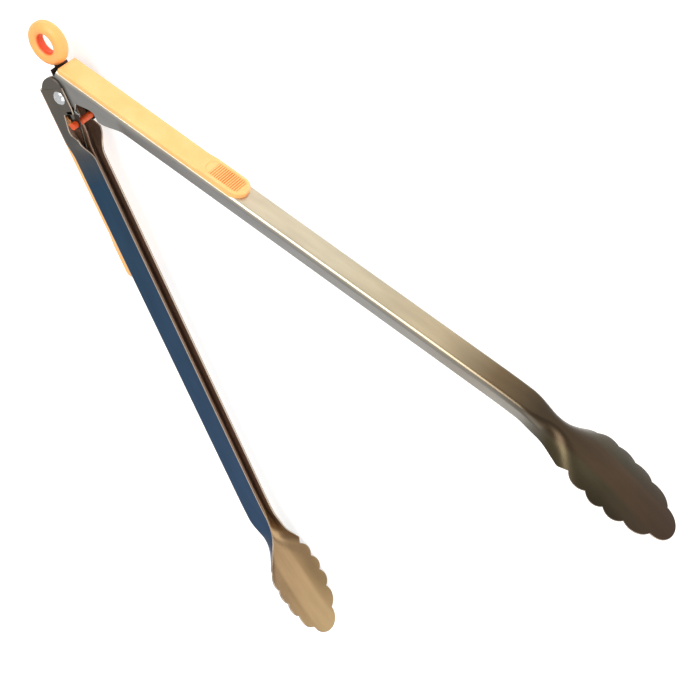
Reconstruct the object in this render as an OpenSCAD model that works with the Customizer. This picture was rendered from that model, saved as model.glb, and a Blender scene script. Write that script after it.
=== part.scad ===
// Spring loaded kitchen tongs, open, lying on their side. Millimetres.
// The origin is the centre of the ring hole. Z runs along the hinge pin, X along the middle
// of the opening toward the spoon ends, Y toward the upper arm.

/* [Arms] */
// Angle between the two arms as drawn, fully sprung open
open_angle = 49.9; // [42:0.1:52]
// Hinge pin centre to the outer end of the tip scallop
arm_len = 391.5; // [385:0.5:398]
// Channel width over its two flanges
arm_w = 15.8; // [15:0.1:16.4]
// Channel depth from the outer face to the flange edges
arm_h = 13.3; // [12.5:0.1:13.6]
// Hinge pin centre to the outer face of the channel
arm_rise = 14.5; // [14.3:0.1:15]
// Sheet steel thickness
sheet = 1; // [0.8:0.05:1.1]
// Outer radius of the two channel folds
fold_r = 3; // [2.4:0.1:3]
// How far each flange leans inward at its edge, beyond the hinge
flange_lean = 3.9; // [0:0.1:4.2]
// Radius of the rounded ear ends round the hinge pin
ear_r = 12.4; // [11.8:0.1:12.5]
// Depth of the ears on the open side of the hinge pin
ear_drop = 5.6; // [5.2:0.1:6]
// Edge of the web behind the hinge pin centre
web_back = 5.6; // [5.4:0.1:7.2]
// Sideways step that lets the lower ears straddle the upper ears
ear_step = 1.35; // [1.3:0.05:1.5]

/* [Spoon ends] */
// Where the channel starts to open out into the spoon
neck_x = 298; // [290:1:302]
// Where the spoon section is fully formed
spoon_x = 340; // [336:1:342]
// Inward droop of the spoon ridge at the tip
spoon_droop = 21; // [18:0.5:22]
// How quickly the droop builds up along the spoon
droop_power = 2; // [1.8:0.05:2.2]
// Depth of the spoon hollow across its full width
spoon_depth = 5; // [4:0.25:7]
// Depth of the hollow at the tip
tip_depth = 3; // [2:0.25:4]
// Half width over which the hollow depth is measured
spoon_half = 19.5; // [19:0.25:21]
// Bulge of each scallop as a share of its chord
scallop_bulge = 0.2; // [0.12:0.01:0.26]
// Bulge of the first, flatter lobe next to the neck
first_bulge = 0.12; // [0.08:0.01:0.16]

/* [Hinge] */
// Hinge rivet shaft diameter
pin_d = 4; // [3.6:0.1:4.2]
// Running clearance round the rivet shaft
pin_play = 0.05; // [0.03:0.01:0.1]
// Rivet head diameter
rivet_head_d = 8; // [7:0.1:9]
// Rivet head height
rivet_head_h = 1.8; // [1.2:0.1:2.2]
// Spring wire diameter
wire_d = 1.3; // [1:0.05:1.4]
// Mean radius of the spring coil
coil_r = 3.1; // [3:0.05:3.3]
// Number of close wound turns
coil_turns = 5; // [3:1:6]
// Where each spring leg meets the inside of its arm
leg_x = 36; // [32:1:44]

/* [Ring lock] */
// How far the ring pulls out
lock_travel = 5; // [4.6:0.1:5.2]
// Lock bar distance from the hinge pin, ring pushed in
bar_x = 17.2; // [17:0.1:17.6]
// Lock bar diameter
bar_d = 4; // [3.4:0.1:4.2]
// Slider plate thickness
slider_t = 0.8; // [0.6:0.05:0.9]
// Half width over the slider side plates
slider_half = 6.2; // [6:0.05:6.4]
// Half height of the slider side plates
slider_rise = 4.2; // [3.8:0.1:4.6]
// Ring centre behind the hinge pin, ring pushed in
ring_x = 28.2; // [28:0.1:31]
// Centre line radius of the ring
ring_r = 9; // [8.8:0.1:9.2]
// Thickness of the ring between its outside and its hole
ring_t = 7.2; // [7:0.1:7.4]
// Thickness of the ring along its hole
ring_w = 8.2; // [7.6:0.1:8.6]
// Diameter of the straight hole through the ring
ring_hole_d = 11.2; // [11:0.1:11.4]

/* [Grips] */
// Where the grip ends along the arm
grip_end = 119; // [110:1:124]
// Grip width
grip_w = 14; // [12:0.1:14.4]
// Grip thickness over the steel
grip_t = 2.1; // [2:0.1:3]
// Length of the raised thumb rest
rest_len = 27; // [24:1:32]
// Height of the thumb rest over the grip
rest_t = 0.9; // [0.6:0.1:1.4]
// Number of cross ribs on the thumb rest
rib_count = 14; // [8:1:15]
// Spacing of the ribs
rib_pitch = 1.3; // [1.1:0.05:1.35]

/* [Hidden] */
half_angle = open_angle / 2;
flange_z = arm_w / 2;
lower_ear_z = flange_z + ear_step;
clear = 0.25;
bar_out_x = bar_x - lock_travel;
tail_x = ring_r - ring_x - 2;
tongue_half = 2.6;
notch_end = 26.2;
// Where the outer face starts to bend inward
bend_x = neck_x - 18;
// Hinge pin centre seen from the centre of the ring hole
pivot = [ring_x * cos(half_angle), -ring_x * sin(half_angle), 0];
// The two locking pegs of each grip: places along the arm, radius, head radius
peg_xs = [18, 98];
peg_r = 2.2;
peg_head_r = 3.2;
// Scallop cusps along one side of the spoon: distance from the pin, half width
cusps = [[317, 9.8], [333.1, 14.9], [345.3, 17.4], [356.4, 17.1], [368.3, 15], [382, 9.3]];
tip_cusp = cusps[len(cusps) - 1];
// Stations along the arm: closer together where the section changes
stations = concat(
    [-ear_r - 1, 2, 14, 26, 28, 30, 32, 34, 36, 38, 41, 60, neck_x - 60, bend_x, bend_x + 9],
    [for (i = [0:13]) neck_x - 2 + (spoon_x + 2 - neck_x) * i / 14],
    [for (i = [0:11]) spoon_x + (arm_len + 2 - spoon_x) * i / 11]);
// Split of the half section: flange, fold and half web segments
flange_seg = 2;
fold_seg = 4;
web_seg = 3;
half_seg = flange_seg + fold_seg + web_seg;

function smooth(a, b, v) =
    let (q = min(1, max(0, (v - a) / (b - a)))) q * q * (3 - 2 * q);
function mix(a, b, q) = a + (b - a) * q;
// Half width and edge lean of the plain channel at distance x
function channel_w(x, step) = flange_z + step * (1 - smooth(26, 38, x));
function lean(x) = flange_lean * smooth(27, 41, x);
// Outer line of the channel section on the +Z side, from flange edge to web middle
function channel_pt(i, w, l) =
    i <= flange_seg
        ? let (q = i / flange_seg) [mix(-arm_h, -fold_r, q), mix(w - l, w, q)]
        : i <= flange_seg + fold_seg
            ? let (a = 90 * (i - flange_seg) / fold_seg)
                [-fold_r + fold_r * sin(a), w - fold_r + fold_r * cos(a)]
            : [0, (w - fold_r) * (half_seg - i) / web_seg];
// Drop of the ridge line, half width and depth of the sheet where it opens into the spoon
function ridge(x) =
    let (q = max(0, (x - bend_x) / (arm_len - bend_x))) -spoon_droop * pow(q, droop_power);
function half_w(x, step) = mix(channel_w(x, step), spoon_half, smooth(neck_x + 12, spoon_x, x));
function depth(x) =
    mix(mix(arm_h, spoon_depth, smooth(neck_x + 4, spoon_x + 5, x)), tip_depth,
        smooth(spoon_x + 12, arm_len, x));
// The channel section turns into a shallow hollow as the share q runs from 0 to 1
function outer_pt(i, x, step) =
    let (w = channel_w(x, step), c = channel_pt(i, w, lean(x)), s = (half_seg - i) / half_seg,
        q = smooth(neck_x - 2, neck_x + 24, x))
        [ridge(x) + depth(x) * mix(c[0] / arm_h, -s * s, q),
         half_w(x, step) * mix(c[1] / w, s, q)];
// Whole outer line across the arm, then the inner line one sheet thickness inside it
function outer_line(x, step) = [
    for (i = [0:half_seg]) outer_pt(i, x, step),
    for (i = [half_seg - 1:-1:0]) let (p = outer_pt(i, x, step)) [p[0], -p[1]]];
function side_dir(line, i) =
    let (a = line[max(0, i - 1)], b = line[min(len(line) - 1, i + 1)], d = b - a) d / norm(d);
function inner_line(line) = [
    for (i = [0:len(line) - 1]) let (d = side_dir(line, i)) line[i] + sheet * [d[1], -d[0]]];
function section_loop(x, step) =
    let (o = outer_line(x, step), n = inner_line(o))
        [for (p = o) [x, arm_rise + p[0], p[1]],
         for (i = [len(n) - 1:-1:0]) [x, arm_rise + n[i][0], n[i][1]]];

// Centre and radius of the circle that bulges out from the chord a to b
function scallop(a, b, share) =
    let (c = norm(b - a), s = c * share, r = (c * c / 4 + s * s) / (2 * s), d = (b - a) / c)
        [(a + b) / 2 - (r - s) * [-d[1], d[0]], r];

// Pressed sheet shell of one arm before trimming
module arm_shell(step) {
    rows = [for (x = stations) section_loop(x, step)];
    n = len(rows[0]);
    m = len(rows);
    wide = n / 2;
    points = [for (row = rows) for (p = row) p];
    sides = [for (j = [0:m - 2]) for (i = [0:n - 1])
        let (a = j * n + i, b = j * n + (i + 1) % n, c = b + n, d = a + n)
            each [[a, b, c], [a, c, d]]];
    caps = [for (i = [0:wide - 2])
        let (a = i, b = i + 1, c = n - 2 - i, d = n - 1 - i, k = (m - 1) * n)
            each [[a, c, b], [a, d, c], [k + a, k + b, k + c], [k + a, k + c, k + d]]];
    polyhedron(points = points, faces = concat(sides, caps), convexity = 8);
}

// Outline of one arm seen square to its outer face
module arm_outline() {
    polygon(concat(
        [[-30, -15], [neck_x + 10, -15], [neck_x + 10, -cusps[0][1]]],
        [for (c = cusps) [c[0], -c[1]]],
        [for (i = [len(cusps) - 1:-1:0]) cusps[i]],
        [[neck_x + 10, cusps[0][1]], [neck_x + 10, 15], [-30, 15]]));
    for (side = [-1, 1], i = [0:len(cusps) - 2]) mirror([0, side < 0 ? 1 : 0]) {
        s = scallop(cusps[i], cusps[i + 1], i == 0 ? first_bulge : scallop_bulge);
        intersection() {
            translate(s[0]) circle(r = s[1], $fn = 96);
            translate([cusps[0][0] - 4, 0]) square([arm_len, 30]);
        }
    }
    translate([arm_len - tip_cusp[1] - 0.4, 0]) circle(r = tip_cusp[1] + 0.4, $fn = 96);
}

// Side view of one arm: rounded ear, lock hook, lock notch, then the full channel
module arm_profile() {
    hook_in = bar_out_x - bar_d / 2 - clear;
    hook_top = -bar_d / 2 - 3 * clear;
    difference() {
        union() {
            translate([-web_back, 0]) square([arm_len + 30, arm_rise + 1]);
            translate([notch_end + 1.3, -30]) square([arm_len, 40]);
            intersection() {
                circle(r = ear_r, $fn = 96);
                polygon([[-ear_r, arm_rise], [-ear_r, -1], [-9.4, -4.3], [-5.5, -ear_drop],
                    [6.8, -ear_drop], [9.6, 0.5 - ear_drop], [9.6, arm_rise]]);
            }
            polygon([[4, 0], [4, 0.5 - ear_drop], [9.6, 0.5 - ear_drop],
                [hook_in + 3, hook_top - 1], [hook_in + 3, hook_top], [hook_in + 1, 0]]);
        }
        polygon([[hook_in, hook_top], [hook_in, bar_d / 2 + 0.6], [bar_x + 2, 5.2], [bar_x + 5, 5.2],
            [notch_end, 1.2], [notch_end, hook_top]]);
    }
}

// Flat ears that carry the flanges past the hinge pin
module ears(step) {
    for (side = [0, 1]) mirror([0, 0, side])
        translate([-ear_r, -ear_drop - 1, flange_z + step - sheet])
            cube([ear_r + 20, arm_rise - fold_r + ear_drop, sheet]);
}

module arm(step, hole_r) {
    difference() {
        intersection() {
            union() {
                arm_shell(step);
                ears(step);
            }
            rotate([90, 0, 0]) linear_extrude(height = 80, center = true) arm_outline();
            linear_extrude(height = 60, center = true) arm_profile();
        }
        cylinder(h = 40, r = hole_r, center = true, $fn = 64);
        for (x = peg_xs) translate([x, arm_rise + 2, 0])
            rotate([90, 0, 0]) cylinder(h = 8, r = peg_r + 0.05, $fn = 48);
    }
}

module at_pivot() { translate(pivot) children(); }
module in_upper() { at_pivot() rotate([0, 0, half_angle]) children(); }
module in_lower() { at_pivot() rotate([0, 0, -half_angle]) children(); }

module upper_arm() color([0.62, 0.56, 0.46]) in_upper() arm(0, pin_d / 2 + pin_play);

module lower_arm() color([0.5, 0.5, 0.5])
    in_lower() mirror([0, 1, 0]) arm(ear_step, pin_d / 2 + 0.03);

// Plan of a grip: square at the hinge, round at the far end, inset all round
module grip_plan(inset) {
    w = grip_w - 2 * inset;
    x0 = -web_back + 0.4 + inset;
    x1 = grip_end - grip_w / 2;
    translate([x0, -w / 2]) square([x1 - x0, w]);
    translate([x1, 0]) circle(r = w / 2, $fn = 64);
}

module grip_layer(y0, h, inset) {
    translate([0, arm_rise + y0 + h, 0]) rotate([90, 0, 0])
        linear_extrude(height = h) grip_plan(inset);
}

// Raised thumb rest near the round end of the grip
module rest_plan(inset) {
    r = grip_w / 2 - 1.4 - inset;
    x1 = grip_end - grip_w / 2;
    x0 = grip_end - rest_len + r + inset;
    translate([x0, -r]) square([x1 - x0, 2 * r]);
    for (x = [x0, x1]) translate([x, 0]) circle(r = r, $fn = 64);
}

// Half length of a rib at distance x, kept clear of the recess wall
function rib_half(x) =
    let (r = grip_w / 2 - 2.1, x0 = grip_end - rest_len + grip_w / 2 - 1.4,
        d = max(0, x - grip_end + grip_w / 2, x0 - x)) sqrt(r * r - d * d) - 0.3;

module thumb_rest() {
    rise = arm_rise + grip_t;
    difference() {
        translate([0, rise + rest_t, 0]) rotate([90, 0, 0])
            linear_extrude(height = rest_t + 0.2) rest_plan(0);
        translate([0, rise + rest_t + 1, 0]) rotate([90, 0, 0])
            linear_extrude(height = 1.5) rest_plan(0.7);
    }
    for (i = [0:rib_count - 1]) {
        x = grip_end - 5.2 - i * rib_pitch;
        translate([x - rib_pitch / 4, rise + rest_t - 0.8, -rib_half(x)])
            cube([rib_pitch / 2, 0.7, 2 * rib_half(x)]);
    }
}

module grip() {
    grip_layer(0, grip_t - 0.6, 0);
    grip_layer(grip_t - 0.7, 0.7, 0.6);
    thumb_rest();
    for (x = peg_xs) translate([x, arm_rise, 0]) {
        translate([0, 0.4, 0]) rotate([90, 0, 0])
            cylinder(h = sheet + 0.6, r = peg_r, $fn = 48);
        translate([0, -sheet - 0.05, 0]) rotate([90, 0, 0])
            cylinder(h = 1.2, r = peg_head_r, $fn = 48);
    }
}

module upper_grip() color([0.96, 0.66, 0.32]) in_upper() grip();

module lower_grip() color([0.96, 0.66, 0.32]) in_lower() mirror([0, 1, 0]) grip();

// Rivet with a domed head at each end
module pivot_rivet() color([0.8, 0.8, 0.8]) at_pivot() {
    cylinder(h = 2 * lower_ear_z + 0.4, d = pin_d, center = true, $fn = 64);
    for (side = [0, 1]) mirror([0, 0, side]) translate([0, 0, lower_ear_z])
        rivet_dome(rivet_head_d / 2, rivet_head_h);
}

module rivet_dome(r, h) {
    ball = (r * r + h * h) / (2 * h);
    intersection() {
        translate([0, 0, h - ball]) sphere(r = ball, $fn = 96);
        cylinder(h = h + 1, r = r, $fn = 64);
    }
}

// Close wound coil on the rivet with one straight leg into each arm
module torsion_spring() color([0.75, 0.75, 0.72]) {
    span = wire_d * (coil_turns - 1);
    low = -coil_turns * wire_d / 2;
    outer = coil_r + wire_d / 2;
    inner = coil_r - wire_d / 2;
    turns = [for (i = [0:2 * coil_turns]) [outer - (i % 2 == 1 ? 0 : 0.35), low + wire_d * i / 2]];
    at_pivot() rotate_extrude($fn = 64)
        polygon(concat([[inner, low]], turns, [[inner, -low]]));
    leg_z = span / 2 - 0.15;
    in_upper() spring_leg(leg_z);
    in_lower() mirror([0, 1, 0]) spring_leg(-leg_z);
}

module spring_leg(z) {
    touch = [leg_x, arm_rise - sheet - wire_d / 2 - 0.05];
    reach = norm(touch);
    start_r = coil_r - 0.12;
    dir = atan2(touch[1], touch[0]) - asin(start_r / reach);
    run = sqrt(reach * reach - start_r * start_r);
    rotate([0, 0, dir]) translate([0, start_r, z]) rotate([0, 90, 0])
        cylinder(h = run, d = wire_d, $fn = 32);
}

// Bent steel slider: flat tail with a tongue into the ring, two slotted plates round the coil
module lock_slider() color([0.3, 0.29, 0.27]) in_lower() {
    shoulder = -ring_x + ring_r + ring_t / 2 + 0.4;
    difference() {
        union() {
            translate([tail_x, -slider_t / 2, -tongue_half])
                cube([shoulder - tail_x + 1, slider_t, 2 * tongue_half]);
            translate([shoulder, -slider_t / 2, -slider_half])
                cube([-8.4 - shoulder, slider_t, 2 * slider_half]);
            for (side = [0, 1]) mirror([0, 0, side])
                translate([0, 0, slider_half - slider_t]) linear_extrude(height = slider_t)
                    slider_side();
        }
        for (x = [0, lock_travel]) translate([x, 0, 0])
            cylinder(h = 30, r = pin_d / 2 + pin_play, center = true, $fn = 64);
        translate([lock_travel / 2, 0, 0])
            cube([lock_travel, pin_d + 2 * pin_play, 30], center = true);
        translate([bar_x, 0, 0]) cylinder(h = 30, d = bar_d + 0.04, center = true, $fn = 48);
    }
}

module slider_side() {
    nose_r = bar_d / 2 + 1.2;
    translate([-13, -slider_t / 2]) square([8, slider_t]);
    translate([-8, 0]) circle(r = 2.6, $fn = 48);
    translate([-8, -2.6]) square([8, 5.2]);
    translate([0, -slider_rise]) square([bar_x - 3, 2 * slider_rise]);
    circle(r = slider_rise, $fn = 64);
    translate([bar_x - 3, -nose_r]) square([3, 2 * nose_r]);
    translate([bar_x, 0]) circle(r = nose_r, $fn = 48);
}

module lock_bar() color([0.9, 0.45, 0.15]) in_lower()
    translate([bar_x, 0, 0]) cylinder(h = 2 * lower_ear_z, d = bar_d, center = true, $fn = 48);

// Pull ring in the side plane, moulded round the slider tongue, with a straight hole
module pull_ring() color([0.96, 0.64, 0.3]) in_lower() translate([-ring_x, 0, 0]) {
    offset_z = (ring_w - ring_t) / 2;
    difference() {
        union() {
            for (z = [-offset_z, offset_z]) translate([0, 0, z]) rotate_extrude($fn = 96)
                translate([ring_r, 0]) circle(d = ring_t, $fn = 48);
            difference() {
                cylinder(h = 2 * offset_z, r = ring_r + ring_t / 2, center = true, $fn = 96);
                cylinder(h = 20, r = ring_r - ring_t / 2, center = true, $fn = 96);
            }
        }
        cylinder(h = 20, d = ring_hole_d, center = true, $fn = 96);
        translate([tail_x + ring_x - 0.02, -slider_t / 2 - 0.02, -tongue_half - 0.02])
            cube([20, slider_t + 0.04, 2 * tongue_half + 0.04]);
    }
}

upper_arm();
lower_arm();
upper_grip();
lower_grip();
pivot_rivet();
torsion_spring();
lock_slider();
lock_bar();
pull_ring();
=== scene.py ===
"""Looks for the spring loaded kitchen tongs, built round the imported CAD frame."""

import math

import bmesh
import bpy
import numpy as np
from mathutils import Matrix, Vector


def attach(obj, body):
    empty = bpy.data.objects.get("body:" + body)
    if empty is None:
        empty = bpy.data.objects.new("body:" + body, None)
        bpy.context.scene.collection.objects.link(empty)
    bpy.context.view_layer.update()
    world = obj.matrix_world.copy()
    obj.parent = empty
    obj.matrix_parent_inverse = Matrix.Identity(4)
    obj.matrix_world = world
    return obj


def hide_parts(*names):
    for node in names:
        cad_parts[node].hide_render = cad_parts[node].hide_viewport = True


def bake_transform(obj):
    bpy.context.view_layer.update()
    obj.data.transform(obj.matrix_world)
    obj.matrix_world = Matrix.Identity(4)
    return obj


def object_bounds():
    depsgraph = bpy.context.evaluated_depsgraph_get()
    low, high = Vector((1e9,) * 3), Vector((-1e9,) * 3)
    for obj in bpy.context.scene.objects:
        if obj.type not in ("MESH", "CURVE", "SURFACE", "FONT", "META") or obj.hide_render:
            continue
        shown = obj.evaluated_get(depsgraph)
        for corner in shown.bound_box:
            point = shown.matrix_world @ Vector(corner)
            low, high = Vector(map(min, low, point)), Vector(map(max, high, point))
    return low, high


MM = 0.001

# Driving dimensions, repeated from the CAD source: millimetres, measured from the hinge pin
HALF_ANGLE = math.radians(24.95)
RING_X = 28.2
PIVOT = (RING_X * math.cos(HALF_ANGLE), -RING_X * math.sin(HALF_ANGLE), 0.0)

# Arm: pressed channel
ARM_LEN = 391.5
FLANGE_Z = 7.9
ARM_H = 13.3
ARM_RISE = 14.5
SHEET = 1.0
FOLD_R = 3.0
LEAN = 3.9
WEB_BACK = 5.6

# Ears, lock hook and lock notch
EAR_R = 12.4
EAR_DROP = 5.6
EAR_STEP = 1.35
EAR_HEEL = (-9.4, -4.3)
HOOK_TOE = (9.6, -5.1)
HOOK_IN = 9.95
HOOK_TOP = -2.75
# Flange edge over the hinge line: rounded ear, hook, lock notch, then the full channel
LOW_EDGE = [EAR_HEEL, (-5.5, -EAR_DROP), (6.8, -EAR_DROP), HOOK_TOE, (9.92, -5.0),
            (HOOK_IN, 2.6), (19.2, 5.2), (22.2, 5.2), (26.2, 1.2), (27.5, ARM_RISE - ARM_H)]

# Neck and spoon
NECK_X = 298.0
SPOON_X = 340.0
DROOP = 21.0
DROOP_POWER = 2.0
BEND_X = NECK_X - 18
DEPTH = 5.0
TIP_DEPTH = 3.0
SPOON_HALF = 19.5
BULGE = 0.2
FIRST_BULGE = 0.12
CUSPS = [(317, 9.8), (333.1, 14.9), (345.3, 17.4), (356.4, 17.1), (368.3, 15), (382, 9.3)]
TIP_R = CUSPS[-1][1] + 0.4
TIP_X = ARM_LEN - TIP_R
OPEN_BLANK = 15.0

# Grip, its thumb rest and its pegs
GRIP_START = -WEB_BACK + 0.4
GRIP_END = 119.0
GRIP_R = 7.0
GRIP_T = 2.1
GRIP_CORNER = 1.5
GRIP_EDGE = 1.1
REST_LEN = 27.0
REST_LIFT = 0.9
PAD_R = GRIP_R - 1.7
PAD_SINK = 0.5
RIB_END = GRIP_END - 5
RIB_PITCH = 1.3
RIBS = 14
PEG_XS = (18.0, 98.0)

# Torsion spring
COIL_R = 3.1
COIL_TURNS = 4
WIRE_D = 1.3
LEG_X = 36.0

# Pull ring
RING_R = 9.0
RING_T = 7.2
RING_W = 8.2
RING_HOLE = 5.6

# Points across a half section of the sheet, and per turn or part of a turn
HALF_N = 40
SECTION_N = 16
LEG_N = 24
TURN_N = 48

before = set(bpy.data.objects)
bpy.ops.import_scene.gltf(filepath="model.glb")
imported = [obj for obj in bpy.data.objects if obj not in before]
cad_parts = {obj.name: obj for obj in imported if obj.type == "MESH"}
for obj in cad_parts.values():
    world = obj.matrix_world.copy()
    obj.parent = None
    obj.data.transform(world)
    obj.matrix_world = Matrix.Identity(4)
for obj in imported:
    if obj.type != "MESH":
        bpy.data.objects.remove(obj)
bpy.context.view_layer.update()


# ---------------------------------------------------------------- arm shape
def smooth(a, b, v):
    """Rises from 0 to 1 with level ends while v goes from a to b."""
    q = min(1.0, max(0.0, (v - a) / (b - a)))
    return q * q * (3 - 2 * q)


def mix(a, b, q):
    """The value a share q of the way from a to b."""
    return a + (b - a) * q


def scallop(a, b, bulge):
    """Centre and radius of the circle that bulges out from the chord a to b."""
    a, b = np.array(a, float), np.array(b, float)
    chord = np.linalg.norm(b - a)
    rise = chord * bulge
    r = (chord * chord / 4 + rise * rise) / (2 * rise)
    d = (b - a) / chord
    return (a + b) / 2 - (r - rise) * np.array([-d[1], d[0]]), r


LOBES = [scallop(CUSPS[i], CUSPS[i + 1], BULGE if i else FIRST_BULGE)
         for i in range(len(CUSPS) - 1)]

def outline_half(x):
    """Half width of the pressed blank at distance x, scallops included."""
    if x < NECK_X + 10:
        return OPEN_BLANK
    if x >= CUSPS[-1][0]:
        return math.sqrt(max(0.0, TIP_R**2 - (x - TIP_X) ** 2))
    if x < CUSPS[0][0]:
        return CUSPS[0][1]
    centre, r = next(lobe for lobe, cusp in zip(LOBES, CUSPS[1:]) if x <= cusp[0])
    return centre[1] + math.sqrt(max(0.0, r * r - (x - centre[0]) ** 2))


def ridge(x):
    """Height of the middle of the web against its straight part: the tip droops."""
    return -DROOP * max(0.0, (x - BEND_X) / (ARM_LEN - BEND_X)) ** DROOP_POWER


def depth(x):
    """How far the edge of the section lies below its middle."""
    d = mix(ARM_H, DEPTH, smooth(NECK_X + 4, SPOON_X + 5, x))
    return mix(d, TIP_DEPTH, smooth(SPOON_X + 12, ARM_LEN, x))


def low_edge(x):
    """Height of the flange edge over the hinge line near the hinge."""
    xs, ys = zip(*LOW_EDGE)
    return float(np.interp(x, xs, ys))


def half_section(x, step):
    """Fine outer line of the half section, from the web middle to the flange edge."""
    w = FLANGE_Z + step * (1 - smooth(26, 38, x))
    lean = LEAN * smooth(27, 41, x)
    bottom = low_edge(x) - ARM_RISE
    web = [(0.0, (w - FOLD_R) * i / SECTION_N) for i in range(SECTION_N)]
    fold = []
    for i in range(SECTION_N + 1):
        a = math.pi / 2 * i / SECTION_N
        fold.append((-FOLD_R + FOLD_R * math.cos(a), w - FOLD_R + FOLD_R * math.sin(a)))
    flange = []
    for i in range(1, SECTION_N + 1):
        y = mix(-FOLD_R, bottom, i / SECTION_N)
        flange.append((y, w - lean * max(0.0, (-FOLD_R - y) / (ARM_H - FOLD_R))))
    channel = np.array(web + fold + flange)
    q = smooth(NECK_X - 2, NECK_X + 24, x)
    if q <= 0:
        return channel + [ridge(x), 0]
    share = section_share(len(web), len(fold), len(flange))
    wide = mix(w, SPOON_HALF, smooth(NECK_X + 12, SPOON_X, x))
    y = mix(channel[:, 0] / ARM_H, -share**2, q)
    return np.stack([ridge(x) + depth(x) * y, wide * mix(channel[:, 1] / w, share, q)], 1)


def section_share(n_web, n_fold, n_flange):
    """Matches points of the channel section to the spoon section: 3, 4 and 2 ninths."""
    web = np.linspace(0, 3 / 9, n_web + 1)[:-1]
    fold = np.linspace(3 / 9, 7 / 9, n_fold)
    flange = np.linspace(7 / 9, 1, n_flange + 1)[1:]
    return np.concatenate([web, fold, flange])


def trimmed(line, limit):
    """The half line cut where it passes the blank's outline."""
    for i in range(1, len(line)):
        if line[i, 1] > limit:
            a, b = line[i - 1], line[i]
            q = (limit - a[1]) / max(1e-9, b[1] - a[1])
            return np.vstack([line[:i], a + (b - a) * max(0.0, q)])
    return line


def resampled(line, n):
    """n points evenly spaced along the line, and their distances along it."""
    step = np.linalg.norm(np.diff(line, axis=0), axis=1)
    s = np.concatenate([[0], np.cumsum(step)])
    t = np.linspace(0, s[-1], n)
    return np.stack([np.interp(t, s, line[:, 0]), np.interp(t, s, line[:, 1])], 1), t


def stations():
    """Distances of the sections along an arm: closer together where the shape changes."""
    near = [-WEB_BACK, -5.5, -3, 0, 3, 6.8, 8.2, 9.6, 9.92, 9.96]
    near += list(np.arange(10.8, 27.6, 0.8)) + list(np.arange(28.5, 62, 1.5))
    near += list(np.arange(64, BEND_X, 6)) + list(np.arange(BEND_X, NECK_X - 2, 3))
    spoon = []
    for i in range(len(CUSPS) - 1):
        a, b = CUSPS[i][0], CUSPS[i + 1][0]
        spoon += [a + (b - a) * (1 - math.cos(math.pi * k / 20)) / 2 for k in range(20)]
    tip = [TIP_X + TIP_R * math.sin(math.radians(a)) for a in np.linspace(1.2, 89.6, 30)]
    neck = list(np.arange(NECK_X - 2, CUSPS[0][0] - 0.5, 0.9))
    return near + neck + spoon + tip


def arm_grid(step):
    """Stations, outer and inner surface points and distances across, in millimetres."""
    outer, across = [], []
    xs = stations()
    for x in xs:
        half, t = resampled(trimmed(half_section(x, step), outline_half(x)), HALF_N)
        right = half[:0:-1] * [1, -1]
        line = np.vstack([right, half])
        outer.append(np.stack([np.full(len(line), x), ARM_RISE + line[:, 0], line[:, 1]], 1))
        across.append(np.concatenate([-t[:0:-1], t]))
    outer = np.array(outer)
    inner = np.empty_like(outer)
    for j, row in enumerate(outer):
        d = np.gradient(row[:, 1:], axis=0)
        d /= np.maximum(1e-9, np.linalg.norm(d, axis=1))[:, None]
        thick = min(SHEET, 0.45 * abs(row[-1, 2]) + 0.5)
        inner[j, :, 0] = row[:, 0]
        inner[j, :, 1] = row[:, 1] - d[:, 1] * thick
        inner[j, :, 2] = row[:, 2] + d[:, 0] * thick
    return xs, outer, inner, np.array(across)


def placed(points, side):
    """Millimetre points of one arm, turned to its side of the opening, in metres."""
    p = np.array(points, float) * MM
    if side < 0:
        p = p * [1, -1, 1]
    c, s = math.cos(HALF_ANGLE), side * math.sin(HALF_ANGLE)
    turned = np.stack([c * p[:, 0] - s * p[:, 1], s * p[:, 0] + c * p[:, 1], p[:, 2]], 1)
    return turned + np.array(PIVOT) * MM


def make_mesh(name, verts, faces, uvs=None, slots=None, materials=(), flip=False):
    """A smooth shaded object; flip turns the faces of a mirrored piece outward."""
    mesh = bpy.data.meshes.new(name)
    if flip:
        faces = [f[::-1] for f in faces]
    mesh.from_pydata([tuple(v) for v in verts], [], faces)
    if uvs is not None:
        layer = mesh.uv_layers.new(name="along")
        for loop in mesh.loops:
            layer.data[loop.index].uv = uvs[loop.vertex_index]
    for m in materials:
        mesh.materials.append(m)
    for i, p in enumerate(mesh.polygons):
        p.use_smooth = True
        if slots is not None:
            p.material_index = slots[i]
    mesh.update()
    obj = bpy.data.objects.new(name, mesh)
    bpy.context.scene.collection.objects.link(obj)
    return obj


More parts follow.
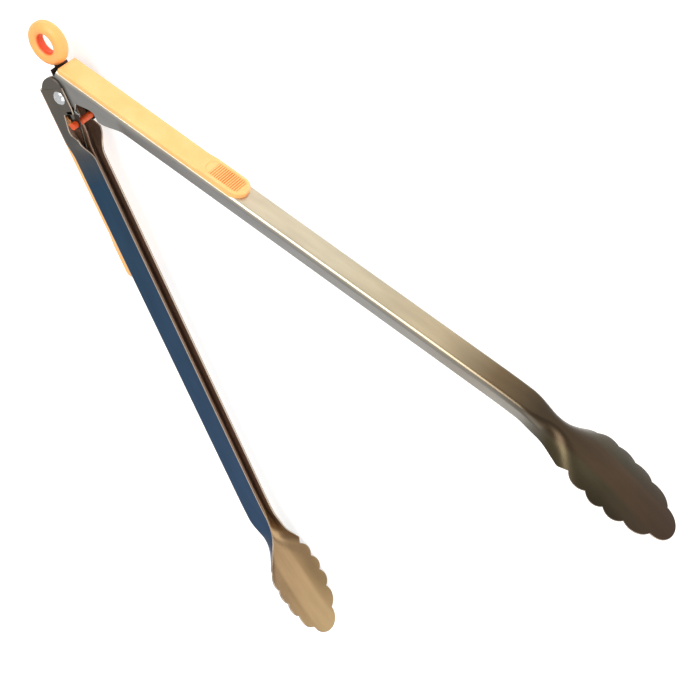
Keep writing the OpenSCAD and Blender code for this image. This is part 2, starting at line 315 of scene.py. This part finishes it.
def build_arm(name, side, step, materials):
    """One arm's sheet: outer face, inner face and a rounded cut edge, a material each."""
    xs, outer, inner, across = arm_grid(step)
    rows, cols = outer.shape[:2]
    rim_a = (outer[:, 0] + inner[:, 0]) / 2
    rim_b = (outer[:, -1] + inner[:, -1]) / 2
    edge_a = outer[:, 0] - outer[:, 1]
    edge_b = outer[:, -1] - outer[:, -2]
    for rim, edge in ((rim_a, edge_a), (rim_b, edge_b)):
        rim += 0.3 * edge / np.maximum(1e-9, np.linalg.norm(edge, axis=1))[:, None]
    verts = np.vstack([outer.reshape(-1, 3), inner.reshape(-1, 3), rim_a, rim_b])
    grid_u = np.repeat(np.array(xs) / ARM_LEN, cols)
    grid_v = across.reshape(-1) / 30 + 0.5
    rim_u = np.array(xs) / ARM_LEN
    uvs = np.vstack([
        np.stack([grid_u, grid_v], 1), np.stack([grid_u, grid_v], 1),
        np.stack([rim_u, np.zeros(rows)], 1), np.stack([rim_u, np.ones(rows)], 1)])
    base_in, base_a, base_b = rows * cols, 2 * rows * cols, 2 * rows * cols + rows
    faces, slots = [], []
    for j in range(rows - 1):
        for i in range(cols - 1):
            a = j * cols + i
            faces.append((a, a + cols, a + cols + 1, a + 1))
            slots.append(0)
            b = base_in + a
            faces.append((b, b + 1, b + cols + 1, b + cols))
            slots.append(1)
        for rim, col, turn in ((base_a, 0, 1), (base_b, cols - 1, -1)):
            o, n = j * cols + col, base_in + j * cols + col
            quads = [(o, rim + j, rim + j + 1, o + cols), (rim + j, n, n + cols, rim + j + 1)]
            faces += [q[::turn] for q in quads]
            slots += [2, 2]
    for j, turn in ((0, 1), (rows - 1, -1)):
        for i in range(cols - 1):
            a = j * cols + i
            faces.append((a, a + 1, base_in + a + 1, base_in + a)[::turn])
            slots.append(2)
    obj = make_mesh(name, placed(verts, side), faces, uvs, slots, materials, flip=side < 0)
    tidy_normals(obj)
    return obj


def tidy_normals(obj):
    """Joins doubled points, points the faces outward and keeps sharp edges sharp."""
    bm = bmesh.new()
    bm.from_mesh(obj.data)
    bmesh.ops.remove_doubles(bm, verts=bm.verts, dist=1e-7)
    bmesh.ops.recalc_face_normals(bm, faces=bm.faces)
    for e in bm.edges:
        if len(e.link_faces) == 2 and e.calc_face_angle(0) > math.radians(40):
            e.smooth = False
    bm.to_mesh(obj.data)
    bm.free()


def plate(x_y, z0):
    """Corner points and faces of a flat sheet piece with the outline x_y."""
    n = len(x_y)
    pts = [(x, y, z0) for x, y in x_y] + [(x, y, z0 + SHEET) for x, y in x_y]
    faces = [tuple(range(n))[::-1], tuple(range(n, 2 * n))]
    faces += [(k, (k + 1) % n, n + (k + 1) % n, n + k) for k in range(n)]
    return pts, faces


def build_ears(name, side, step, materials):
    """Rounded rear ends of the two ears and the lock hook under each notch."""
    arc = [(EAR_R * math.cos(a), EAR_R * math.sin(a)) for a in np.linspace(2.04, 3.22, 24)]
    rear = [(-WEB_BACK, math.sqrt(EAR_R**2 - WEB_BACK**2))] + arc[1:] + [EAR_HEEL, (-WEB_BACK, -5.56)]
    root, reach = HOOK_IN - 1.95, HOOK_IN + 3
    hook = [(root, -0.5), (root, HOOK_TOE[1]), HOOK_TOE, (reach, HOOK_TOP - 1), (reach, HOOK_TOP),
            (HOOK_IN, HOOK_TOP), (HOOK_IN, -0.5)]
    verts, faces = [], []
    for z0 in (FLANGE_Z + step - SHEET, -FLANGE_Z - step):
        for outline in (rear, hook):
            pts, quads = plate(outline, z0)
            faces += [tuple(k + len(verts) for k in q) for q in quads]
            verts += pts
    uvs = [(0.02, 0.95 if v[2] > 0 else 0.05) for v in verts]
    obj = make_mesh(name, placed(verts, side), faces, uvs, None, materials[:1])
    tidy_normals(obj)
    bevelled(obj, 0.2)
    return obj


def bevelled(obj, width_mm):
    """Rounds the sharp edges of a piece without changing its mesh."""
    mod = obj.modifiers.new("edge", "BEVEL")
    mod.width = width_mm * MM
    mod.segments = 3
    mod.limit_method = "ANGLE"
    mod.angle_limit = math.radians(30)
    mod.harden_normals = False


# ---------------------------------------------------------------- grip shape
def grip_half(x):
    """Half width of the grip: small rear corners, round front end."""
    into = GRIP_START + GRIP_CORNER - x
    if into > 0:
        return GRIP_R - GRIP_CORNER + math.sqrt(max(0.0, GRIP_CORNER**2 - into**2))
    if x > GRIP_END - GRIP_R:
        return math.sqrt(max(0.0, GRIP_R**2 - (x - GRIP_END + GRIP_R) ** 2))
    return GRIP_R


def edge_distance(x, z):
    """Distance in from the nearest edge of the grip."""
    if x > GRIP_END - GRIP_R:
        return GRIP_R - math.hypot(x - GRIP_END + GRIP_R, z)
    return min(GRIP_R - abs(z), x - GRIP_START)


def pad_distance(x, z):
    """Distance in from the edge of the sunk, ribbed pad of the thumb rest."""
    middle = min(max(x, GRIP_END - REST_LEN + PAD_R), GRIP_END - GRIP_R)
    return PAD_R - math.hypot(x - middle, z)


def grip_height(x, z):
    """Top surface of the grip over the steel: rounded edges, thumb rest and ribs."""
    d = max(0.0, edge_distance(x, z))
    top = GRIP_T + 0.15 * math.sin(math.pi * min(1, max(0, (x + 8) / 95)))
    top += REST_LIFT * smooth(GRIP_END - REST_LEN - 5, GRIP_END - REST_LEN + 3, x)
    if d <= GRIP_EDGE:
        top += math.sqrt(max(0.0, GRIP_EDGE**2 - (GRIP_EDGE - d) ** 2)) - GRIP_EDGE
    pad = pad_distance(x, z)
    phase = (RIB_END - x) / RIB_PITCH
    rib = 0.0
    if -0.5 < phase < RIBS - 0.5:
        wave = 0.5 + 0.5 * math.cos(2 * math.pi * phase)
        rib = smooth(0.25, 0.75, wave) * smooth(0.2, 0.9, pad)
    return top - PAD_SINK * smooth(0.0, 0.45, pad) * (1 - rib)


def groove(x, z):
    """True on the shaded floor between two ribs of the thumb rest."""
    phase = (RIB_END - x) / RIB_PITCH
    between = abs(phase - round(phase)) > 0.27
    return pad_distance(x, z) > 0.5 and between and -0.6 < phase < RIBS - 0.4


def build_grip(name, side, materials):
    """One grip: the shaped top, its side walls and the sole that lies on the steel."""
    front, rest = GRIP_END - GRIP_R, GRIP_END - REST_LEN - 6
    xs = [GRIP_START + GRIP_CORNER * (1 - math.cos(math.radians(a))) for a in range(0, 91, 10)]
    xs += list(np.arange(GRIP_START + 2 * GRIP_CORNER, rest, 2.0))
    xs += list(np.arange(rest, front, 0.16))
    xs += [front + GRIP_R * math.sin(math.radians(a)) for a in np.linspace(0, 89.5, 60)]
    n = 30
    q = np.sin(np.linspace(-1, 1, 2 * n + 1) * math.pi / 2)
    verts, rows = [], len(xs)
    for x in xs:
        w = grip_half(x)
        for k in q:
            z = k * w
            verts.append((x, ARM_RISE + grip_height(x, z * 0.9999), z))
    cols = len(q)
    faces, slots = [], []
    for j in range(rows - 1):
        for i in range(cols - 1):
            a = j * cols + i
            faces.append((a, a + 1, a + cols + 1, a + cols))
            slots.append(1 if groove((xs[j] + xs[j + 1]) / 2, verts[a][2]) else 0)
    loop = [j * cols for j in range(rows)] + [(rows - 1) * cols + i for i in range(1, cols)]
    loop += [j * cols + cols - 1 for j in range(rows - 2, -1, -1)]
    loop += [i for i in range(cols - 2, 0, -1)]
    base = len(verts)
    for k in loop:
        x, _, z = verts[k]
        out = max(0.0, abs(z) - FLANGE_Z + FOLD_R)
        verts.append((x, ARM_RISE - FOLD_R + math.sqrt(FOLD_R**2 - out**2) + 0.02, z))
    m = len(loop)
    for k in range(m):
        faces.append((loop[k], loop[(k + 1) % m], base + (k + 1) % m, base + k))
    faces.append(tuple(base + k for k in range(m)))
    slots += [0] * (len(faces) - len(slots))
    obj = make_mesh(name, placed(verts, side), faces, [(v[0] / 100, v[2] / 100) for v in verts],
                    slots, materials, flip=side < 0)
    tidy_normals(obj)
    return obj


def build_pegs(name, side, material):
    """The two locking pegs of a grip with their heads inside the channel."""
    verts, faces = [], []
    for cx in PEG_XS:
        rings = [(2.1, 0.3), (2.1, -SHEET - 0.1), (3.0, -SHEET - 0.15), (3.2, -SHEET - 0.4),
                 (3.0, -SHEET - 1.0), (2.2, -SHEET - 1.25), (0.02, -SHEET - 1.25)]
        n = 40
        base = len(verts)
        for r, y in rings:
            for k in range(n):
                a = 2 * math.pi * k / n
                verts.append((cx + r * math.cos(a), ARM_RISE + y, r * math.sin(a)))
        for j in range(len(rings) - 1):
            for k in range(n):
                a, b = base + j * n + k, base + j * n + (k + 1) % n
                faces.append((a, b, b + n, a + n))
    obj = make_mesh(name, placed(verts, side), faces, None, None, [material])
    tidy_normals(obj)
    return obj


# ---------------------------------------------------------------- tubes and rings
def sweep(name, points, radius, material, n=14):
    """A round wire along the points, closed with flat ends."""
    pts = [Vector(p) for p in points]
    verts, faces = [], []
    up = Vector((0, 0, 1))
    for i, p in enumerate(pts):
        t = (pts[min(i + 1, len(pts) - 1)] - pts[max(i - 1, 0)]).normalized()
        side = t.cross(up).normalized()
        other = side.cross(t).normalized()
        for k in range(n):
            a = 2 * math.pi * k / n
            verts.append(p + radius * (math.cos(a) * side + math.sin(a) * other))
    for j in range(len(pts) - 1):
        for k in range(n):
            a, b = j * n + k, j * n + (k + 1) % n
            faces.append((a, b, b + n, a + n))
    faces += [tuple(range(n)), tuple(range((len(pts) - 1) * n, len(pts) * n))]
    obj = make_mesh(name, verts, faces, None, None, [material])
    tidy_normals(obj)
    return obj


def build_spring(material):
    """A close wound coil on the rivet with one leg along each arm."""
    touch = (LEG_X, ARM_RISE - SHEET - WIRE_D / 2 - 0.05)
    reach = math.hypot(*touch)
    lean = math.atan2(touch[1], touch[0]) - math.asin(COIL_R / reach)
    run = math.sqrt(reach**2 - COIL_R**2)
    lift = WIRE_D * 2 - 0.15
    a0 = HALF_ANGLE + lean + math.pi / 2
    a1 = -HALF_ANGLE - lean - math.pi / 2 - 2 * math.pi * COIL_TURNS
    pts = []
    d0 = (math.cos(HALF_ANGLE + lean), math.sin(HALF_ANGLE + lean))
    for k in range(LEG_N, 0, -1):
        s = run * k / LEG_N
        pts.append((COIL_R * math.cos(a0) + d0[0] * s, COIL_R * math.sin(a0) + d0[1] * s, lift))
    coil_n = COIL_TURNS * TURN_N
    for k in range(coil_n + 1):
        q = k / coil_n
        a = mix(a0, a1, q)
        pts.append((COIL_R * math.cos(a), COIL_R * math.sin(a), mix(lift, -lift, q)))
    d1 = (math.cos(HALF_ANGLE + lean), -math.sin(HALF_ANGLE + lean))
    end = (COIL_R * math.cos(a1), COIL_R * math.sin(a1))
    for k in range(1, LEG_N + 1):
        s = run * k / LEG_N
        pts.append((end[0] + d1[0] * s, end[1] + d1[1] * s, -lift))
    pts = [tuple((c + o) * MM for c, o in zip(p, PIVOT)) for p in pts]
    return sweep("spring_wire", pts, WIRE_D / 2 * MM, material)


def build_ring(material):
    """The moulded pull ring, a fat round loop with a short straight bore along Z."""
    n, m = 144, 64
    verts, faces = [], []
    for i in range(n):
        a = 2 * math.pi * i / n
        for k in range(m):
            b = 2 * math.pi * (k + 0.5) / m
            r = max(RING_R + RING_T / 2 * math.cos(b), RING_HOLE)
            z = RING_T / 2 * math.sin(b) + math.copysign((RING_W - RING_T) / 2, math.sin(b))
            verts.append((r * math.cos(a) * MM, r * math.sin(a) * MM, z * MM))
    for i in range(n):
        for k in range(m):
            a, b = i * m + k, i * m + (k + 1) % m
            c, d = ((i + 1) % n) * m + (k + 1) % m, ((i + 1) % n) * m + k
            faces.append((a, b, c, d))
    obj = make_mesh("ring_loop", verts, faces, None, None, [material])
    tidy_normals(obj)
    return obj


# ---------------------------------------------------------------- materials
def srgb(r, g, b):
    """A display colour in 0 to 255 steps as a linear one."""
    def lin(v):
        v /= 255
        return v / 12.92 if v <= 0.04045 else ((v + 0.055) / 1.055) ** 2.4

    return (lin(r), lin(g), lin(b), 1)


class Nodes:
    """Short names for building one material."""

    def __init__(self, name):
        self.mat = bpy.data.materials.new(name)
        self.mat.use_nodes = True
        self.tree = self.mat.node_tree
        self.shader = self.tree.nodes["Principled BSDF"]

    def add(self, kind, **inputs):
        """A new node with the named inputs or settings filled in."""
        node = self.tree.nodes.new(kind)
        for key, value in inputs.items():
            name = key.replace("_", " ")
            if name in node.inputs:
                node.inputs[name].default_value = value
            else:
                setattr(node, key, value)
        return node

    def join(self, a, b):
        self.tree.links.new(a, b)

    def fill(self, socket, value):
        """Links the socket when value is another socket, otherwise sets it."""
        if hasattr(value, "is_linked"):
            self.join(value, socket)
        else:
            socket.default_value = value

    def ramp(self, source, stops):
        node = self.tree.nodes.new("ShaderNodeValToRGB")
        while len(node.color_ramp.elements) < len(stops):
            node.color_ramp.elements.new(0.5)
        for element, (at, colour) in zip(node.color_ramp.elements, stops):
            element.position = at
            element.color = colour
        self.join(source, node.inputs[0])
        return node.outputs[0]

    def blend(self, kind, factor, a, b):
        node = self.tree.nodes.new("ShaderNodeMix")
        node.data_type = "RGBA"
        node.blend_type = kind
        for socket, value in ((0, factor), (6, a), (7, b)):
            self.fill(node.inputs[socket], value)
        return node.outputs[2]

    def math(self, kind, a, b=0.5):
        node = self.tree.nodes.new("ShaderNodeMath")
        node.operation = kind
        self.fill(node.inputs[0], a)
        self.fill(node.inputs[1], b)
        return node.outputs[0]

    def grey(self, value):
        return (value, value, value, 1)


def stretched(n, scale):
    """Coordinates along and across an arm, scaled so that marks run with the arm."""
    coord = n.add("ShaderNodeUVMap", uv_map="along")
    mapping = n.add("ShaderNodeMapping")
    mapping.inputs["Scale"].default_value = scale
    n.join(coord.outputs[0], mapping.inputs[0])
    return mapping.outputs[0]


def steel(name, web, flange):
    """Brushed sheet steel: painted reflections run along the arm in the colour ramps, streaks run
    with it.
    """
    n = Nodes(name)
    uv = n.add("ShaderNodeUVMap", uv_map="along").outputs[0]
    split = n.add("ShaderNodeSeparateXYZ")
    n.join(uv, split.inputs[0])
    along, across = split.outputs[0], split.outputs[1]
    off = n.math("ABSOLUTE", n.math("SUBTRACT", across, 0.5))
    # Painted reflections: web and flange get their own colour ramps, since the two faces reflect
    # different parts of the surroundings.
    side = n.ramp(off, [(0.22, n.grey(0)), (0.31, n.grey(1))])
    colour = n.blend("MIX", side, n.ramp(along, web), n.ramp(along, flange))
    streaks = n.add("ShaderNodeTexNoise", Scale=1.0, Detail=6.0, Roughness=0.65)
    n.join(stretched(n, (9, 320, 1)), streaks.inputs["Vector"])
    fine = n.add("ShaderNodeTexNoise", Scale=1.0, Detail=4.0, Roughness=0.6)
    n.join(stretched(n, (40, 1400, 1)), fine.inputs["Vector"])
    cloud = n.add("ShaderNodeTexNoise", Scale=1.0, Detail=3.0, Roughness=0.5)
    n.join(stretched(n, (14, 5, 1)), cloud.inputs["Vector"])
    tone = n.ramp(streaks.outputs[0], [(0.25, n.grey(0.86)), (0.75, n.grey(1.08))])
    colour = n.blend("MULTIPLY", 0.8, colour, tone)
    tone = n.ramp(cloud.outputs[0], [(0.3, n.grey(0.88)), (0.7, n.grey(1.06))])
    colour = n.blend("MULTIPLY", 0.8, colour, tone)
    n.join(colour, n.shader.inputs["Base Color"])
    n.shader.inputs["Metallic"].default_value = 0.85
    rough = n.math("MULTIPLY_ADD", streaks.outputs[0], 0.16)
    rough.node.inputs[2].default_value = 0.22
    n.join(rough, n.shader.inputs["Roughness"])
    bump = n.add("ShaderNodeBump", Strength=0.12, Distance=0.00006)
    n.join(n.math("ADD", fine.outputs[0], streaks.outputs[0]), bump.inputs["Height"])
    n.join(bump.outputs[0], n.shader.inputs["Normal"])
    return n.mat


def plain_steel(name, colour, roughness):
    """Small turned or drawn steel pieces with fine marks and faint handling wear."""
    n = Nodes(name)
    coord = n.add("ShaderNodeTexCoord").outputs["Object"]
    noise = n.add("ShaderNodeTexNoise", Scale=900.0, Detail=5.0, Roughness=0.6)
    n.join(coord, noise.inputs["Vector"])
    tone = n.ramp(noise.outputs[0], [(0.3, n.grey(0.8)), (0.7, n.grey(1.1))])
    n.join(n.blend("MULTIPLY", 0.7, colour, tone), n.shader.inputs["Base Color"])
    n.shader.inputs["Metallic"].default_value = 0.95
    rough = n.math("MULTIPLY_ADD", noise.outputs[0], 0.2)
    rough.node.inputs[2].default_value = roughness - 0.1
    n.join(rough, n.shader.inputs["Roughness"])
    bump = n.add("ShaderNodeBump", Strength=0.1, Distance=0.00005)
    n.join(noise.outputs[0], bump.inputs["Height"])
    n.join(bump.outputs[0], n.shader.inputs["Normal"])
    return n.mat


def plastic(name, colour, shade, bore=None):
    """Moulded satin plastic: slight mottling, fine moulding texture, and painted shade in the bore if
    given.
    """
    n = Nodes(name)
    coord = n.add("ShaderNodeTexCoord").outputs["Object"]
    cloud = n.add("ShaderNodeTexNoise", Scale=70.0, Detail=4.0, Roughness=0.6)
    n.join(coord, cloud.inputs["Vector"])
    fine = n.add("ShaderNodeTexNoise", Scale=2600.0, Detail=3.0, Roughness=0.6)
    n.join(coord, fine.inputs["Vector"])
    mask = n.ramp(cloud.outputs[0], [(0.3, n.grey(0)), (0.75, n.grey(1))])
    tint = n.blend("MIX", mask, colour, shade)
    # Painted shade: a deep orange red inside the hole of the ring, picked by the distance from the
    # ring's axis.
    if bore:
        flat = n.add("ShaderNodeMapping")
        flat.inputs["Scale"].default_value = (1, 1, 0)
        n.join(coord, flat.inputs[0])
        radius = n.add("ShaderNodeVectorMath", operation="LENGTH")
        n.join(flat.outputs[0], radius.inputs[0])
        bore_shade_mask = n.ramp(n.math("MULTIPLY", radius.outputs["Value"], 50.0),
                      [(0.285, n.grey(1)), (0.325, n.grey(0))])
        tint = n.blend("MIX", bore_shade_mask, tint, bore)
    n.join(tint, n.shader.inputs["Base Color"])
    n.shader.inputs["Subsurface Weight"].default_value = 0.12
    n.shader.inputs["Subsurface Radius"].default_value = (0.004, 0.0016, 0.0006)
    n.shader.inputs["Subsurface Scale"].default_value = 0.6
    rough = n.math("MULTIPLY_ADD", cloud.outputs[0], 0.18)
    rough.node.inputs[2].default_value = 0.36
    n.join(rough, n.shader.inputs["Roughness"])
    bump = n.add("ShaderNodeBump", Strength=0.15, Distance=0.00004)
    n.join(fine.outputs[0], bump.inputs["Height"])
    n.join(bump.outputs[0], n.shader.inputs["Normal"])
    return n.mat


def floor_paint():
    """Pale matt floor, evenly lit from within so that shadows stay soft."""
    n = Nodes("floor_paint")
    noise = n.add("ShaderNodeTexNoise", Scale=3.0, Detail=3.0)
    n.join(n.add("ShaderNodeTexCoord").outputs["Object"], noise.inputs["Vector"])
    n.join(n.ramp(noise.outputs[0], [(0.3, n.grey(0.9)), (0.7, n.grey(0.93))]),
           n.shader.inputs["Base Color"])
    n.shader.inputs["Roughness"].default_value = 0.85
    n.shader.inputs["Specular IOR Level"].default_value = 0.2
    n.shader.inputs["Emission Color"].default_value = (1, 1, 1, 1)
    n.shader.inputs["Emission Strength"].default_value = 0.35
    return n.mat


# Painted reflections: tan where the upper web reflects a bright surround, dark brown where the upper
# spoon's outside reflects a dark one, grey on the flange near the hinge.
TAN_REFLECTION = srgb(178, 168, 146)
DARK_REFLECTION = srgb(56, 46, 33)
upper_outer = steel(
    "upper_outer_steel",
    [(0.0, srgb(196, 186, 166)), (0.45, TAN_REFLECTION), (0.62, srgb(160, 146, 120)),
     (0.71, srgb(96, 80, 58)), (0.78, DARK_REFLECTION), (0.9, srgb(64, 50, 36)), (1.0, srgb(54, 40, 30))],
    [(0.0, srgb(150, 150, 148)), (0.3, srgb(150, 150, 150)), (0.72, srgb(152, 148, 140)),
     (0.81, srgb(72, 64, 46)), (0.9, srgb(54, 48, 34)), (1.0, srgb(54, 40, 30))])
# Painted reflections on the upper arm's inner face, lighter toward the tip.
upper_inner = steel(
    "upper_inner_steel",
    [(0.0, srgb(120, 110, 96)), (1.0, srgb(150, 132, 104))],
    [(0.0, srgb(120, 110, 96)), (1.0, srgb(176, 150, 112))])
# Painted reflections: grey at the ear, steel blue along the lower arm's near flange where it reflects
# a dark, bluish surround.
lower_outer = steel(
    "lower_outer_steel",
    [(0.0, srgb(96, 90, 84)), (0.2, srgb(84, 88, 92)), (1.0, srgb(120, 110, 90))],
    [(0.0, srgb(104, 98, 90)), (0.08, srgb(90, 90, 90)), (0.14, srgb(48, 74, 98)),
     (0.78, srgb(58, 82, 112)), (1.0, srgb(120, 106, 82))])
# Painted reflections and painted shade: tan inside the lower spoon, brown grey on the inside of the
# far flange, which lies in shade, and at the spoon the flange a little darker than the web.
lower_inner = steel(
    "lower_inner_steel",
    [(0.0, srgb(130, 106, 90)), (0.72, srgb(136, 108, 90)), (0.8, srgb(150, 124, 92)),
     (1.0, srgb(160, 136, 100))],
    [(0.0, srgb(150, 128, 112)), (0.72, srgb(156, 128, 108)), (0.8, srgb(140, 114, 84)),
     (0.9, srgb(136, 112, 80)), (1.0, srgb(152, 128, 92))])
# Painted highlight: the cut edges get a pale pinkish cream colour for the light caught along the
# rims.
rim_highlight_steel = plain_steel("cut_edge_steel", srgb(160, 146, 132), 0.35)
orange = plastic("orange_plastic", srgb(250, 180, 116), srgb(246, 168, 98))
# The third colour is painted shade for the inside of the ring's bore.
ring_orange = plastic("ring_plastic", srgb(248, 172, 100), srgb(242, 156, 82), srgb(206, 66, 14))
# Painted shade: the grip plastic made darker on the floor between the thumb rest ribs.
groove_shade_orange = plastic("groove_plastic", srgb(224, 126, 48), srgb(214, 112, 38))
# Painted shade: the lock bar is the same orange plastic, coloured deep red orange for the shadow
# between the arms where it sits.
shaded_bar_orange = plastic("bar_plastic", srgb(214, 84, 24), srgb(190, 64, 16))
rivet_steel = plain_steel("rivet_steel", srgb(214, 218, 222), 0.2)
spring_steel = plain_steel("spring_steel", srgb(120, 116, 110), 0.3)
slider_steel = plain_steel("slider_steel", srgb(72, 66, 62), 0.4)

# ---------------------------------------------------------------- the pieces
upper = build_arm("upper_arm_sheet", 1, 0.0, [upper_outer, upper_inner, rim_highlight_steel])
upper_ears = build_ears("upper_arm_ears", 1, 0.0, [upper_outer])
lower = build_arm("lower_arm_sheet", -1, EAR_STEP, [lower_outer, lower_inner, rim_highlight_steel])
lower_ears = build_ears("lower_arm_ears", -1, EAR_STEP, [lower_outer])
grip_u = build_grip("upper_grip_cover", 1, [orange, groove_shade_orange])
pegs_u = build_pegs("upper_grip_pegs", 1, orange)
grip_l = build_grip("lower_grip_cover", -1, [orange, groove_shade_orange])
pegs_l = build_pegs("lower_grip_pegs", -1, orange)
spring = build_spring(spring_steel)
ring = build_ring(ring_orange)

for obj, body, nodes in (
        (upper, "upper_arm", ["upper_arm"]), (upper_ears, "upper_arm", ["upper_arm"]),
        (lower, "lower_arm", ["lower_arm"]), (lower_ears, "lower_arm", ["lower_arm"]),
        (grip_u, "upper_arm", ["upper_grip"]), (pegs_u, "upper_arm", ["upper_grip"]),
        (grip_l, "lower_arm", ["lower_grip"]), (pegs_l, "lower_arm", ["lower_grip"]),
        (ring, "ring_lock", ["pull_ring"])):
    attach(obj, body)
    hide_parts(*nodes)
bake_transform(spring)
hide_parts("torsion_spring")

for node, material, width in (("pivot_rivet", rivet_steel, 0.12), ("lock_bar", shaded_bar_orange, 0.3),
                              ("lock_slider", slider_steel, 0.12)):
    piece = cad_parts[node]
    piece.data.materials.clear()
    piece.data.materials.append(material)
    bevelled(piece, width)

# ---------------------------------------------------------------- floor, light and camera
FLOOR_GAP = 0.0005
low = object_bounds()[0][2]
bpy.ops.mesh.primitive_plane_add(size=12, location=(0.15, 0, low - FLOOR_GAP))
floor = bpy.context.object
floor.name = "floor"
floor.data.materials.append(floor_paint())

world = bpy.data.worlds.new("studio")
bpy.context.scene.world = world
world.use_nodes = True
sky = world.node_tree.nodes["Background"]
sky.inputs["Color"].default_value = (1.0, 0.98, 0.95, 1)
sky.inputs["Strength"].default_value = 0.75


def area_light(name, place, target, size, power, colour=(1, 1, 1)):
    """A soft rectangular lamp at place, aimed at target."""
    light = bpy.data.lights.new(name, "AREA")
    light.shape = "RECTANGLE"
    light.size, light.size_y = size
    light.energy = power
    light.color = colour
    obj = bpy.data.objects.new(name, light)
    bpy.context.scene.collection.objects.link(obj)
    obj.location = place
    obj.rotation_euler = (Vector(target) - Vector(place)).to_track_quat("-Z", "Y").to_euler()


area_light("key", (-0.9, 1.3, 1.4), (0.15, 0, 0), (1.4, 1.0), 34, (1.0, 0.97, 0.92))
area_light("fill", (1.2, 0.6, 1.2), (0.2, 0, 0), (1.6, 1.6), 14)

camera_data = bpy.data.cameras.new("photo_camera")
camera = bpy.data.objects.new("photo_camera", camera_data)
bpy.context.scene.collection.objects.link(camera)
camera_data.sensor_width = 36
camera_data.lens = 78.68
camera_data.clip_start = 0.01
right = Vector((0.6222, 0.5352, -0.5714)).normalized()
forward = Vector((0.1409, -0.7945, -0.5908)).normalized()
up = right.cross(forward).normalized()
right = forward.cross(up).normalized()
turn = Matrix((right, up, -forward)).transposed()
camera.matrix_world = Matrix.Translation((0.1106, 0.6816, 0.4795)) @ turn.to_4x4()
bpy.context.scene.camera = camera
bpy.context.scene.view_settings.view_transform = "Standard"
